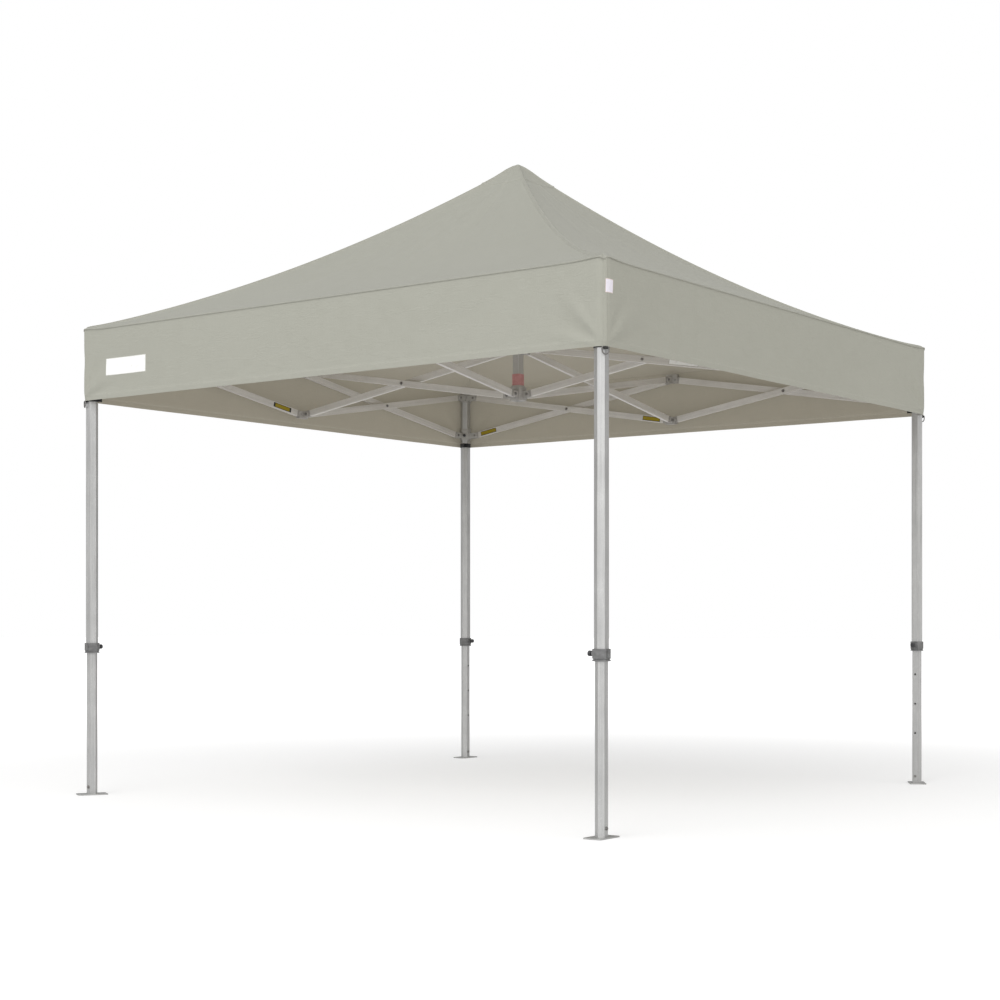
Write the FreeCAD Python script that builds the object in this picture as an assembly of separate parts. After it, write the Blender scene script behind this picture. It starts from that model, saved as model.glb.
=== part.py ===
"""Folding canopy tent, 3 m by 3 m: a scissor truss on four telescopic hexagonal legs, under a roof.

Millimetres, +Z up, origin on the floor under the mast. +X is east and +Y is north.
One side is built on the east side and one corner at the north-east, and quarter turns give the other three.
The truss is drawn open, as it stands in use. Every bar has the same length, so the whole frame folds as one.
"""

import FreeCAD
import Part
import math
import os

from FreeCAD import Vector

# Plan of the frame
LEG_FROM_CENTRE = 1460.0          # from the mast to a leg's axis, along X and along Y
MAST_TO_PIVOT = 54.0
LEG_TO_PIVOT = 74.0
SIDE_PIVOT = 22.0                 # from the middle of a side to its bar pivots, along the side
INNER_PIVOT = 42.0                # from the side's plane to the radial bar's pivot
SPAN = LEG_FROM_CENTRE - MAST_TO_PIVOT - INNER_PIVOT
UPPER_Z = 2175.0                  # height of the upper pivots
LOWER_Z = 1950.0                  # height of the lower pivots
BAR_LENGTH = math.hypot(SPAN, UPPER_Z - LOWER_Z)
BAR_SLOPE = math.degrees(math.atan2(UPPER_Z - LOWER_Z, SPAN))

# Truss bars
BAR_HEIGHT = 34.0
BAR_THICK = 18.0
BAR_WALL = 1.8
NOSE = BAR_HEIGHT / 2             # radius of a bar's rounded end
TUBE_START = 24.0                 # from a pivot to the cut end of the tube
PLUG_LENGTH = 30.0
PLANE = 9.5                       # from the truss's mid plane to a bar's mid plane
BOLT_R = 4.0
HOLE_R = 4.06
HEAD_R = 6.5
HEAD_THICK = 4.0

# Brackets
CHEEK = 4.0
CHEEK_R = 16.0
CHEEK_GAP = 2 * PLANE             # between a fork's two cheeks
WEB_HALF = 3.5
BLOCK_HALF = 33.0
BLOCK_TOP = 33.0
BLOCK_FLOOR = 18.6

# Hubs, mast and its sleeve
HUB_HALF = 31.0
MAST_HALF = 19.0
MAST_WALL = 2.0
MAST_TOP = 3044.0
MAST_CAP_TOP = 3068.0
SLEEVE_HALF = 20.8
SLEEVE_Z = (1995.0, 2052.0)
COLLAR_HALF = 24.0
SLIDING_GAP = 0.75

# Legs
OUTER_FLATS = 50.0
INNER_FLATS = 44.0
LEG_WALL = 2.0
OUTER_Z = (690.0, 2205.0)
INNER_TOP = 1150.0
LOCK_Z = (678.0, 726.0)
LOCK_FLATS = 62.0
PIN_Z = 708.0
PIN_R = 4.5
HOLE_PITCH = 150.0
LEG_HOLES = 4
GLIDE_GAP = 0.2
SLIDER_Z = (1925.0, 1992.0)
SLIDER_FLATS = 61.0
SLIDER_BORE = 51.0
LATCH_ANGLE = 210.0               # the slider's flat that looks into the tent
LATCH_BOSS = 42.0                 # from the leg's axis to the face of the latch's boss
CAP_Z = (2150.0, 2212.0)

# Feet
PLATE = (140.0, 80.0, 5.0)
PEG_SPACING = 110.0
PEG_HOLE_R = 6.5
FOOT_BOLT_Z = 38.0
SPIGOT_TOP = 62.0

# Canopy
EAVE = 1500.0                     # from the centre to the outside of the valance
EAVE_Z = 2215.0
HEM_Z = 1882.0
PEAK_Z = 3083.0
CLOTH = 1.6
ROOF_BEND = 0.41                  # share of the roof's rise that comes from its hollow curve
ROOF_STEPS = 12
APEX_GAP = 6.0
MITRE_GAP = 0.6

SIDES = ("east", "north", "west", "south")
CORNERS = ("north_east", "north_west", "south_west", "south_east")
PLATE_TURN = (0.0, 150.0, 0.0, 30.0)


def box(x, y, z):
    """A block between pairs of lowest and highest x, y and z."""
    return Part.makeBox(x[1] - x[0], y[1] - y[0], z[1] - z[0], Vector(x[0], y[0], z[0]))


def rod(radius, start, end):
    axis = end - start
    return Part.makeCylinder(radius, axis.Length, start, axis)


def hexagon(flats, z):
    """A hexagonal prism with two flats square to Y, standing on the local origin."""
    corner = flats / math.sqrt(3)
    turns = [math.radians(60 * k) for k in range(7)]
    ring = [Vector(corner * math.cos(a), corner * math.sin(a), z[0]) for a in turns]
    return Part.Face(Part.makePolygon(ring)).extrude(Vector(0, 0, z[1] - z[0]))


def hex_tube(flats, bore, z):
    return hexagon(flats, z).cut(hexagon(bore, z))


def square_tube(half, bore_half, z):
    outer = box((-half, half), (-half, half), z)
    return outer.cut(box((-bore_half, bore_half), (-bore_half, bore_half), z))


def turned(shape, quarter_turns):
    copy = shape.copy()
    copy.rotate(Vector(0, 0, 0), Vector(0, 0, 1), 90 * quarter_turns)
    return copy


def at_corner(shape, quarter_turns):
    copy = shape.copy()
    copy.translate(Vector(LEG_FROM_CENTRE, LEG_FROM_CENTRE, 0))
    return turned(copy, quarter_turns)


def rounded(shape, edges, radius):
    """The shape with the chosen edges rounded."""
    return shape.makeFillet(radius, edges)


def upright_edges(shape):
    return [e for e in shape.Edges if abs(e.tangentAt(e.FirstParameter).z) > 0.999]


def save(name, *solids):
    shape = solids[0] if len(solids) == 1 else Part.makeCompound(list(solids))
    shape.exportStep("parts/" + name + ".step")


def bolt(start, end):
    """A shaft with a round head before its start and a hexagonal nut past its end, along X or Y."""
    axis = (end - start).normalize()
    head = rod(HEAD_R, start - axis * HEAD_THICK, start)
    washer = rod(HEAD_R + 1.5, end, end + axis * 1.2)
    tip = end + axis * (HEAD_THICK + 3)
    nut = hexagon(2 * HEAD_R - 1, (0, HEAD_THICK))
    nut.Placement = FreeCAD.Placement(end + axis * 1.2, FreeCAD.Rotation(Vector(0, 0, 1), axis))
    return rod(BOLT_R, start, tip).fuse([head, washer, nut]).removeSplitter()


def pivot_pin(start, end):
    """A shaft with a round head before its start, flush at its end."""
    axis = (end - start).normalize()
    return rod(HEAD_R, start - axis * HEAD_THICK, start).fuse(rod(BOLT_R, start, end)).removeSplitter()


# ---- truss bars ----

def bar_section(height, thick, start, end):
    return box((start, end), (-thick / 2, thick / 2), (-height / 2, height / 2))


def bar_tube():
    """The hollow tube, lying along X from its first pivot, with the hole for the scissor bolt."""
    start, end = TUBE_START, BAR_LENGTH - TUBE_START
    tube = bar_section(BAR_HEIGHT, BAR_THICK, start, end)
    long_edges = [e for e in tube.Edges if e.Length > BAR_LENGTH / 2]
    tube = rounded(tube, long_edges, 2.0)
    hollow = bar_section(BAR_HEIGHT - 2 * BAR_WALL, BAR_THICK - 2 * BAR_WALL, start - 1, end + 1)
    middle = BAR_LENGTH / 2
    hole = rod(HOLE_R, Vector(middle, -BAR_THICK, 0), Vector(middle, BAR_THICK, 0))
    return tube.cut([hollow, hole])


def bar_plug():
    """The moulded end: a rounded nose round the pivot and a spigot inside the tube."""
    thick, spigot_height = BAR_THICK, BAR_HEIGHT - 2 * BAR_WALL
    nose = rod(NOSE, Vector(0, -thick / 2, 0), Vector(0, thick / 2, 0))
    neck = bar_section(BAR_HEIGHT, thick, 0, TUBE_START)
    spigot = bar_section(spigot_height, thick - 2 * BAR_WALL, TUBE_START, TUBE_START + PLUG_LENGTH)
    hole = rod(HOLE_R, Vector(0, -thick, 0), Vector(0, thick, 0))
    return nose.fuse([neck, spigot]).removeSplitter().cut(hole)


def plain_bar():
    """Tube and two plugs along X, from the first pivot at the origin to the second."""
    first = bar_plug()
    second = first.copy()
    second.rotate(Vector(0, 0, 0), Vector(0, 0, 1), 180)
    second.translate(Vector(BAR_LENGTH, 0, 0))
    return [bar_tube(), first, second]


def scissor_bolt(side):
    """The bolt through both bars of a scissor. side is +1 when the second bar lies towards +Y."""
    middle = BAR_LENGTH / 2
    near = Vector(middle, -side * (BAR_THICK / 2 + 0.2), 0)
    far = Vector(middle, side * (2 * PLANE + BAR_THICK / 2 + 0.2), 0)
    washer_start = Vector(middle, side * (BAR_THICK / 2 + 0.1), 0)
    washer_end = Vector(middle, side * (2 * PLANE - BAR_THICK / 2 - 0.1), 0)
    washer = rod(HEAD_R + 4, washer_start, washer_end)
    return bolt(near, far).fuse(washer).removeSplitter()


def placed_bar(solids, pivot, slope, heading):
    """The bar's solids with the first pivot at a place, tilted up by slope and headed round from +X."""
    out = []
    for solid in solids:
        copy = solid.copy()
        copy.rotate(Vector(0, 0, 0), Vector(0, 1, 0), -slope)
        copy.rotate(Vector(0, 0, 0), Vector(0, 0, 1), heading)
        copy.translate(pivot)
        out.append(copy)
    return out


def radial_bars(turn, side):
    """The two bars from the mast to the middle of a side. The first falls outwards, the second rises."""
    upper = Vector(MAST_TO_PIVOT, -PLANE, UPPER_Z)
    lower = Vector(MAST_TO_PIVOT, PLANE, LOWER_Z)
    falling = placed_bar(plain_bar() + [scissor_bolt(1)], upper, -BAR_SLOPE, 0)
    rising = placed_bar(plain_bar(), lower, BAR_SLOPE, 0)
    save("radial_bar_falling_" + side, *[turned(s, turn) for s in falling])
    save("radial_bar_rising_" + side, *[turned(s, turn) for s in rising])


def side_bars(turn, side, sign, towards):
    """The two bars from the middle of a side to one of its corners, +1 for the corner further round."""
    heading = 90 * sign
    outer = Vector(LEG_FROM_CENTRE + PLANE, sign * SIDE_PIVOT, UPPER_Z)
    inner = Vector(LEG_FROM_CENTRE - PLANE, sign * SIDE_PIVOT, LOWER_Z)
    falling = placed_bar(plain_bar() + [scissor_bolt(sign)], outer, -BAR_SLOPE, heading)
    rising = placed_bar(plain_bar(), inner, BAR_SLOPE, heading)
    label = side + "_to_" + towards
    save("side_bar_falling_" + label, *[turned(s, turn) for s in falling])
    save("side_bar_rising_" + label, *[turned(s, turn) for s in rising])


# ---- forks and brackets ----

def cheek_plate(low, high, across, z):
    """A plate square to Y, rounded about both its end pivots at x = low and x = high."""
    y = (across, across + CHEEK)
    parts = [box((low, high), y, (z - CHEEK_R, z + CHEEK_R))]
    for x in (low, high):
        parts.append(rod(CHEEK_R, Vector(x, y[0], z), Vector(x, y[1], z)))
    return parts[0].fuse(parts[1:]).removeSplitter()


def fork_cheek(root, pivot, across, z):
    """A plate square to Y from a root to a rounded end about its pivot."""
    y = (across, across + CHEEK)
    low, high = min(root, pivot), max(root, pivot)
    plate = box((low, high), y, (z - CHEEK_R, z + CHEEK_R))
    return plate.fuse(rod(CHEEK_R, Vector(pivot, y[0], z), Vector(pivot, y[1], z)))


def fork(root, pivot, plane, z):
    """Two cheeks either side of a bar that lies in the plane y = plane."""
    low = plane - CHEEK_GAP / 2
    return [fork_cheek(root, pivot, low - CHEEK, z), fork_cheek(root, pivot, low + CHEEK_GAP, z)]


def fork_hole(pivot, plane, z):
    reach = CHEEK_GAP
    return rod(HOLE_R, Vector(pivot, plane - reach, z), Vector(pivot, plane + reach, z))


def fork_bolt(pivot, plane, z):
    reach = CHEEK_GAP / 2 + CHEEK
    return bolt(Vector(pivot, plane - reach, z), Vector(pivot, plane + reach, z))


def fork_pin(pivot, plane, z):
    reach = CHEEK_GAP / 2 + CHEEK
    return pivot_pin(Vector(pivot, plane - reach, z), Vector(pivot, plane + reach, z))


def swapped(shape):
    """The shape turned from lying along X to lying along Y, with +Y going to -X."""
    return turned(shape, 1)


def side_bracket(z, plane_sign, radial_plane, lid):
    """The bracket in the middle of the east side: two forks along the side and one towards the mast."""
    plane = LEG_FROM_CENTRE + plane_sign * PLANE
    low = plane - CHEEK_GAP / 2 - CHEEK
    high = plane + CHEEK_GAP / 2 + CHEEK
    cheeks = [swapped(cheek_plate(-SIDE_PIVOT, SIDE_PIVOT, -x - CHEEK, z)) for x in (low, high - CHEEK)]
    web = box((low, high), (-WEB_HALF, WEB_HALF), (z - CHEEK_R, z + CHEEK_R))
    nose_reach = LEG_FROM_CENTRE - INNER_PIVOT + NOSE + 1
    inner = fork(low + CHEEK / 2, LEG_FROM_CENTRE - INNER_PIVOT, radial_plane, z)
    y = (radial_plane - CHEEK_GAP / 2 - CHEEK, radial_plane + CHEEK_GAP / 2 + CHEEK)
    back = box((nose_reach, low + CHEEK), y, (z - CHEEK_R, z + CHEEK_R))
    top = box((low, high), (-BLOCK_HALF, BLOCK_HALF), lid)
    walls = [
        box((x, x + CHEEK), (-BLOCK_HALF, BLOCK_HALF), (min(z, lid[0]), max(z, lid[1])))
        for x in (low, high - CHEEK)
    ]
    body = cheeks[0].fuse([cheeks[1], web, back, top] + inner + walls).removeSplitter()
    side_holes = [swapped(fork_hole(s * SIDE_PIVOT, -plane, z)) for s in (-1, 1)]
    radial_hole = fork_hole(LEG_FROM_CENTRE - INNER_PIVOT, radial_plane, z)
    body = body.cut(side_holes + [radial_hole])
    pins = [swapped(fork_pin(s * SIDE_PIVOT, -plane, z)) for s in (-1, 1)]
    return [body] + pins + [fork_bolt(LEG_FROM_CENTRE - INNER_PIVOT, radial_plane, z)]


def eave_bracket(turn, side):
    solids = side_bracket(UPPER_Z, 1, PLANE, (UPPER_Z + BLOCK_FLOOR, UPPER_Z + BLOCK_TOP))
    save("eave_bracket_" + side, *[turned(s, turn) for s in solids])


def lower_bracket(turn, side):
    solids = side_bracket(LOWER_Z, -1, -PLANE, (LOWER_Z - BLOCK_FLOOR - CHEEK, LOWER_Z - BLOCK_FLOOR))
    save("lower_bracket_" + side, *[turned(s, turn) for s in solids])


# ---- hubs and mast ----

def hub(z, body_z, bore_half, plane):
    """A square hub with four forks, each for a radial bar in the plane y = plane of its own side."""
    body = square_tube(HUB_HALF, bore_half, body_z)
    body = rounded(body, [e for e in upright_edges(body) if abs(e.Vertexes[0].X) > bore_half + 1], 4.0)
    forks, holes, bolts = [], [], []
    for turn in range(4):
        forks += [turned(c, turn) for c in fork(HUB_HALF - 1, MAST_TO_PIVOT, plane, z)]
        holes.append(turned(fork_hole(MAST_TO_PIVOT, plane, z), turn))
        bolts.append(turned(fork_bolt(MAST_TO_PIVOT, plane, z), turn))
    return [body.fuse(forks).removeSplitter().cut(holes)] + bolts


def top_hub():
    save("top_hub", *hub(UPPER_Z, (UPPER_Z - 25, UPPER_Z + 28), MAST_HALF + SLIDING_GAP, -PLANE))


def lower_hub():
    solids = hub(LOWER_Z, (LOWER_Z - 30, LOWER_Z + 37), MAST_HALF, PLANE)
    collar = square_tube(COLLAR_HALF, MAST_HALF, (LOWER_Z + 37, SLEEVE_Z[0]))
    solids[0] = solids[0].fuse(collar).removeSplitter()
    save("lower_hub", *solids)


def mast_cap():
    """The rounded plug on the mast's end that carries the peak of the roof."""
    skirt_z = (MAST_TOP - 20, MAST_TOP)
    plug_half = MAST_HALF - MAST_WALL
    plug = box((-plug_half, plug_half), (-plug_half, plug_half), skirt_z)
    dome = Part.makeCone(MAST_HALF - 1, 6, MAST_CAP_TOP - MAST_TOP, Vector(0, 0, MAST_TOP))
    return plug.fuse(dome).removeSplitter()


def mast():
    tube = square_tube(MAST_HALF, MAST_HALF - MAST_WALL, (LOWER_Z - 30, MAST_TOP))
    save("mast", tube, mast_cap())


def mast_sleeve():
    save("mast_sleeve", square_tube(SLEEVE_HALF, MAST_HALF, SLEEVE_Z))


# ---- legs: drawn about the leg's own axis, then moved to the corner ----

def corner_forks(z, side):
    """Forks towards both neighbouring sides. side is +1 for the outer bars' plane, -1 for the inner."""
    plane = side * PLANE
    along_x = fork(-OUTER_FLATS / 2 + 1, -LEG_TO_PIVOT, plane, z)
    mirror = Vector(1, -1, 0)
    along_y = [c.mirror(Vector(0, 0, 0), mirror) for c in along_x]
    return along_x + along_y


def corner_fork_holes(z, side):
    hole = fork_hole(-LEG_TO_PIVOT, side * PLANE, z)
    return [hole, hole.mirror(Vector(0, 0, 0), Vector(1, -1, 0))]


def corner_fork_bolts(z, side):
    first = fork_bolt(-LEG_TO_PIVOT, side * PLANE, z)
    return [first, first.mirror(Vector(0, 0, 0), Vector(1, -1, 0))]


def outer_tube():
    tube = hex_tube(OUTER_FLATS, OUTER_FLATS - 2 * LEG_WALL, OUTER_Z)
    pin_hole = rod(PIN_R + 0.1, Vector(0, 0, PIN_Z), Vector(0, -OUTER_FLATS, PIN_Z))
    return tube.cut(pin_hole)


def top_bracket():
    """The moulded head of the leg, round the tube, with forks for the two rising side bars."""
    shell = hex_tube(SLIDER_FLATS, OUTER_FLATS, (CAP_Z[0], OUTER_Z[1]))
    lid = hexagon(SLIDER_FLATS, (OUTER_Z[1], CAP_Z[1]))
    inside = hexagon(OUTER_FLATS, CAP_Z)
    forks = [f.cut(inside) for f in corner_forks(UPPER_Z, -1)]
    return shell.fuse([lid] + forks).removeSplitter().cut(corner_fork_holes(UPPER_Z, -1))


def leg_lock():
    """The collar at the foot of the outer tube. Its lower end guides the inner tube."""
    body = hexagon(LOCK_FLATS, LOCK_Z)
    waist = hexagon(LOCK_FLATS - 6, (LOCK_Z[0] + 6, LOCK_Z[0] + 10))
    body = body.cut(hexagon(LOCK_FLATS + 4, (LOCK_Z[0] + 6, LOCK_Z[0] + 10)).cut(waist))
    boss = rod(13, Vector(0, -OUTER_FLATS / 2, PIN_Z), Vector(0, -LOCK_FLATS / 2 - 8, PIN_Z))
    lug = box((-9, 9), (LOCK_FLATS / 2 - 2, LOCK_FLATS / 2 + 5), (LOCK_Z[0] + 14, LOCK_Z[1] - 6))
    guide = hexagon(INNER_FLATS + GLIDE_GAP, (LOCK_Z[0], OUTER_Z[0]))
    seat = hexagon(OUTER_FLATS, (OUTER_Z[0], LOCK_Z[1]))
    pin_hole = rod(PIN_R + 0.1, Vector(0, 0, PIN_Z), Vector(0, -60, PIN_Z))
    return body.fuse([boss, lug]).removeSplitter().cut([guide, seat, pin_hole])


def outer_leg(turn, corner):
    solids = [outer_tube(), top_bracket(), leg_lock()] + corner_fork_bolts(UPPER_Z, -1)
    save("outer_leg_" + corner, *[at_corner(s, turn) for s in solids])


def slider(turn, corner):
    """The sliding collar on the outer tube that carries the two falling side bars."""
    body = hexagon(SLIDER_FLATS, SLIDER_Z)
    spring_boss = rod(9, Vector(0, 0, LOWER_Z), direction(LATCH_ANGLE, LATCH_BOSS, LOWER_Z))
    body = body.fuse(corner_forks(LOWER_Z, 1) + [spring_boss]).removeSplitter()
    pin_hole = rod(PIN_R + 0.1, Vector(0, 0, LOWER_Z), direction(LATCH_ANGLE, 60, LOWER_Z))
    body = body.cut([hexagon(SLIDER_BORE, SLIDER_Z), pin_hole] + corner_fork_holes(LOWER_Z, 1))
    solids = [body] + corner_fork_bolts(LOWER_Z, 1)
    save("slider_" + corner, *[at_corner(s, turn) for s in solids])


def direction(angle, length, z):
    turn = math.radians(angle)
    return Vector(length * math.cos(turn), length * math.sin(turn), z)


def slider_latch(turn, corner):
    """The spring pin that holds the slider up, with its pull knob."""
    tip, shoulder = OUTER_FLATS / 2 + 0.6, LATCH_BOSS + 0.3
    pin = rod(PIN_R, direction(LATCH_ANGLE, tip, LOWER_Z), direction(LATCH_ANGLE, shoulder + 6, LOWER_Z))
    knob = rod(8, direction(LATCH_ANGLE, shoulder, LOWER_Z), direction(LATCH_ANGLE, shoulder + 16, LOWER_Z))
    save("slider_latch_" + corner, at_corner(pin.fuse(knob).removeSplitter(), turn))


def lock_pin(turn, corner):
    """The sprung pull pin of the leg lock. Its tip stops in the outer tube's wall."""
    tip, shoulder = INNER_FLATS / 2 + 0.4, LOCK_FLATS / 2 + 8.3
    pin = rod(PIN_R, Vector(0, -tip, PIN_Z), Vector(0, -shoulder - 4, PIN_Z))
    neck = rod(7, Vector(0, -shoulder, PIN_Z), Vector(0, -shoulder - 6, PIN_Z))
    knob = rod(11, Vector(0, -shoulder - 6, PIN_Z), Vector(0, -shoulder - 20, PIN_Z))
    knob = rounded(knob, [e for e in knob.Edges if e.Closed], 2.5)
    save("lock_pin_" + corner, at_corner(pin.fuse([neck, knob]).removeSplitter(), turn))


def inner_tube():
    tube = hex_tube(INNER_FLATS, INNER_FLATS - 2 * LEG_WALL, (PLATE[2], INNER_TOP))
    heights = [PIN_Z - k * HOLE_PITCH for k in range(LEG_HOLES)]
    holes = [rod(PIN_R + 0.5, Vector(0, 0, z), Vector(0, -INNER_FLATS, z)) for z in heights]
    holes.append(rod(HOLE_R, Vector(0, -INNER_FLATS, FOOT_BOLT_Z), Vector(0, INNER_FLATS, FOOT_BOLT_Z)))
    return tube.cut(holes)


def glide():
    """The moulded plug in the top of the inner tube that slides in the outer one."""
    bore = INNER_FLATS - 2 * LEG_WALL
    head = hexagon(OUTER_FLATS - 2 * LEG_WALL - GLIDE_GAP, (INNER_TOP, INNER_TOP + 25))
    return head.fuse(hexagon(bore, (INNER_TOP - 30, INNER_TOP))).removeSplitter()


def foot(plate_turn):
    """The steel base plate with two peg holes and the spigot inside the inner tube."""
    length, width, thick = PLATE
    plate = box((-length / 2, length / 2), (-width / 2, width / 2), (0, thick))
    plate = rounded(plate, upright_edges(plate), 6.0)
    for x in (-PEG_SPACING / 2, PEG_SPACING / 2):
        plate = plate.cut(rod(PEG_HOLE_R, Vector(x, 0, -1), Vector(x, 0, thick + 1)))
    plate.rotate(Vector(0, 0, 0), Vector(0, 0, 1), plate_turn)
    spigot = hexagon(INNER_FLATS - 2 * LEG_WALL, (thick, SPIGOT_TOP))
    hole = rod(HOLE_R, Vector(0, -INNER_FLATS, FOOT_BOLT_Z), Vector(0, INNER_FLATS, FOOT_BOLT_Z))
    return plate.fuse(spigot).removeSplitter().cut(hole)


def inner_leg(turn, corner):
    half = INNER_FLATS / 2
    through = bolt(Vector(0, -half, FOOT_BOLT_Z), Vector(0, half, FOOT_BOLT_Z))
    solids = [inner_tube(), glide(), foot(PLATE_TURN[turn] - 90 * turn), through]
    save("inner_leg_" + corner, *[at_corner(s, turn) for s in solids])


# ---- canopy ----

def roof_height(reach):
    """Height of the roof's outside at a distance from the centre, measured square to its eave."""
    share = 1 - reach / EAVE
    rise = PEAK_Z - EAVE_Z
    return EAVE_Z + rise * ((1 - ROOF_BEND) * share + ROOF_BEND * share * share)


def canopy_panel(turn, side):
    """One roof panel with its valance, a single cut of cloth, mitred where it meets its neighbours."""
    reaches = [APEX_GAP + (EAVE - APEX_GAP) * k / ROOF_STEPS for k in range(ROOF_STEPS + 1)]
    outside = [(r, roof_height(r)) for r in reaches] + [(EAVE, HEM_Z)]
    inside = [(r, z - 1.2 * CLOTH) for r, z in outside[:-2]]
    inside += [(EAVE - CLOTH, EAVE_Z - 1.2 * CLOTH), (EAVE - CLOTH, HEM_Z)]
    outline = outside + inside[::-1]
    ring = [Vector(r, -EAVE, z) for r, z in outline]
    sheet = Part.Face(Part.makePolygon(ring + [ring[0]])).extrude(Vector(0, 2 * EAVE, 0))
    reach, edge = EAVE + 10, EAVE + 10 - MITRE_GAP
    wedge = [Vector(MITRE_GAP, 0, 0), Vector(reach, edge, 0), Vector(reach, -edge, 0)]
    prism = Part.Face(Part.makePolygon(wedge + [wedge[0]])).extrude(Vector(0, 0, PEAK_Z + 10))
    save("canopy_panel_" + side, turned(sheet.common(prism), turn))


def main():
    os.makedirs("parts", exist_ok=True)
    top_hub()
    lower_hub()
    mast()
    mast_sleeve()
    for turn, side in enumerate(SIDES):
        radial_bars(turn, side)
        eave_bracket(turn, side)
        lower_bracket(turn, side)
        side_bars(turn, side, 1, CORNERS[turn])
        side_bars(turn, side, -1, CORNERS[turn - 1])
        canopy_panel(turn, side)
    for turn, corner in enumerate(CORNERS):
        outer_leg(turn, corner)
        slider(turn, corner)
        slider_latch(turn, corner)
        lock_pin(turn, corner)
        inner_leg(turn, corner)


main()
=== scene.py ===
import math

import bmesh
import bpy
import numpy as np
from mathutils import Matrix, Vector


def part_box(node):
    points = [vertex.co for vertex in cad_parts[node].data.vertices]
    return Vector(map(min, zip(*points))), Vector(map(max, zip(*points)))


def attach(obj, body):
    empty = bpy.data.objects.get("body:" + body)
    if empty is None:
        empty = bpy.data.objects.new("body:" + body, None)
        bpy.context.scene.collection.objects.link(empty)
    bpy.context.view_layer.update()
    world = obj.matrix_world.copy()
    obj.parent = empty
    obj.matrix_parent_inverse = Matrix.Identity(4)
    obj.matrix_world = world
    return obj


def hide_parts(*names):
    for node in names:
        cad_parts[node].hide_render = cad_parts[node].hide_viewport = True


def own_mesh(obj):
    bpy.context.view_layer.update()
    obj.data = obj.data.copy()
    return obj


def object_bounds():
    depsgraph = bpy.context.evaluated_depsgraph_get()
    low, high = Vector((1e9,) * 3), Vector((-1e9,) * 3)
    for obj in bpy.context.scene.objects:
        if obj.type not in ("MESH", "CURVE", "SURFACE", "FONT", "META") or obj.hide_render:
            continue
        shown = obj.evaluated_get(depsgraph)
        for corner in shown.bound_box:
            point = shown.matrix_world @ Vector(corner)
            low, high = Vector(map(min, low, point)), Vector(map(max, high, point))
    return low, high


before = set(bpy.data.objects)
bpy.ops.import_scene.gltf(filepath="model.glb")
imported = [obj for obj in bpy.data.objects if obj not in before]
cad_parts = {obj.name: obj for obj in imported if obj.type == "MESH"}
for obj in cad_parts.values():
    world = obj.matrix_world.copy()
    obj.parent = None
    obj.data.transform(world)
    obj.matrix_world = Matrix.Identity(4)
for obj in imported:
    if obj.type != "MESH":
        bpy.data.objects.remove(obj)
cad_low, cad_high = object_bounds()

# ---- measures of the shelter, in metres ----

SIDES = ("east", "north", "west", "south")
CORNERS = ("north_east", "north_west", "south_west", "south_east")

panel_low, panel_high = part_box("canopy_panel_east")

HEM_Z = panel_low[2]
EAVE = panel_high[0]
LEG_LINE = 1.460                       # from the centre lines to a leg's axis
LEG_FLATS = 0.050
LEG_HEAD_Z = 2.1499                    # a leg's top bracket begins here, outside its tube
LEG_TOP_Z = 2.206                      # and above here there is only the bracket
LOCK_TOP_Z = 0.7262                    # top of the lock's collar on the outer tube
OUTER_END_Z = 0.6899                   # lower end of the outer tube
PLATE_TOP_Z = 0.0051                   # top of a foot plate
GLIDE_Z = 1.1499                       # the glide on top of the inner tube begins here
MAST_CAP_Z = 3.044
PROUD = 0.0005                         # a face this far outside a tube is not the tube's
EAVE_Z = 2.218
ROOF_RISE = 0.866
ROOF_BEND = 0.47                       # share of the rise that comes from the hollow curve
HIP_BEND = {"north_east": 0.45, "north_west": 0.43, "south_west": 0.50, "south_east": 0.50}
CLOTH = 0.0008
PEAK_ROUND = 0.010                     # how far the mast's cap rounds off the peak
PEAK_PATCH = 0.129                     # reach of the doubled cloth round the peak
PANEL_SAG = 0.017
EAVE_SLOPE = math.radians(18.85)       # at which the roof begins to turn down
EAVE_ROUND = 0.0035                    # radius where the roof turns down into its lip
EAVE_TANGENT = EAVE_ROUND * math.tan(math.radians(35.6)) * math.cos(EAVE_SLOPE)
LIP_DEPTH = 0.004
LIP_STAND = 0.0014                     # how far the lip stands off the valance
HIP_BAND = 0.0125                      # width of the felled hip seam
CORNER_ROUND = 0.045                   # radius of the cloth's corners, seen from above
LEG_LIFT, LEG_LIFT_REACH = 0.009, 0.105    # how far a leg's head holds up the cloth
TIP_DROP, TIP_DROP_REACH = 0.008, 0.011    # and how far its very corner drops again
HEM_BAND = 0.026
CORNER_STRIP = 0.022
VALANCE_INSET = 0.0012                 # the valance hangs this far inside the eave's line
DRAWN_IN_Z = 2.070                     # between a leg's bracket and its slider
HEM_DRAWN_Z = 1.925                    # below here the corners are drawn in again
PATCH_STAND = 0.0007                   # a sewn patch's front above the valance's
ROOF_COLUMNS = 120
VALANCE_COLUMNS = 170
rng = np.random.default_rng(7)


# ---- finishes ----

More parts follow.
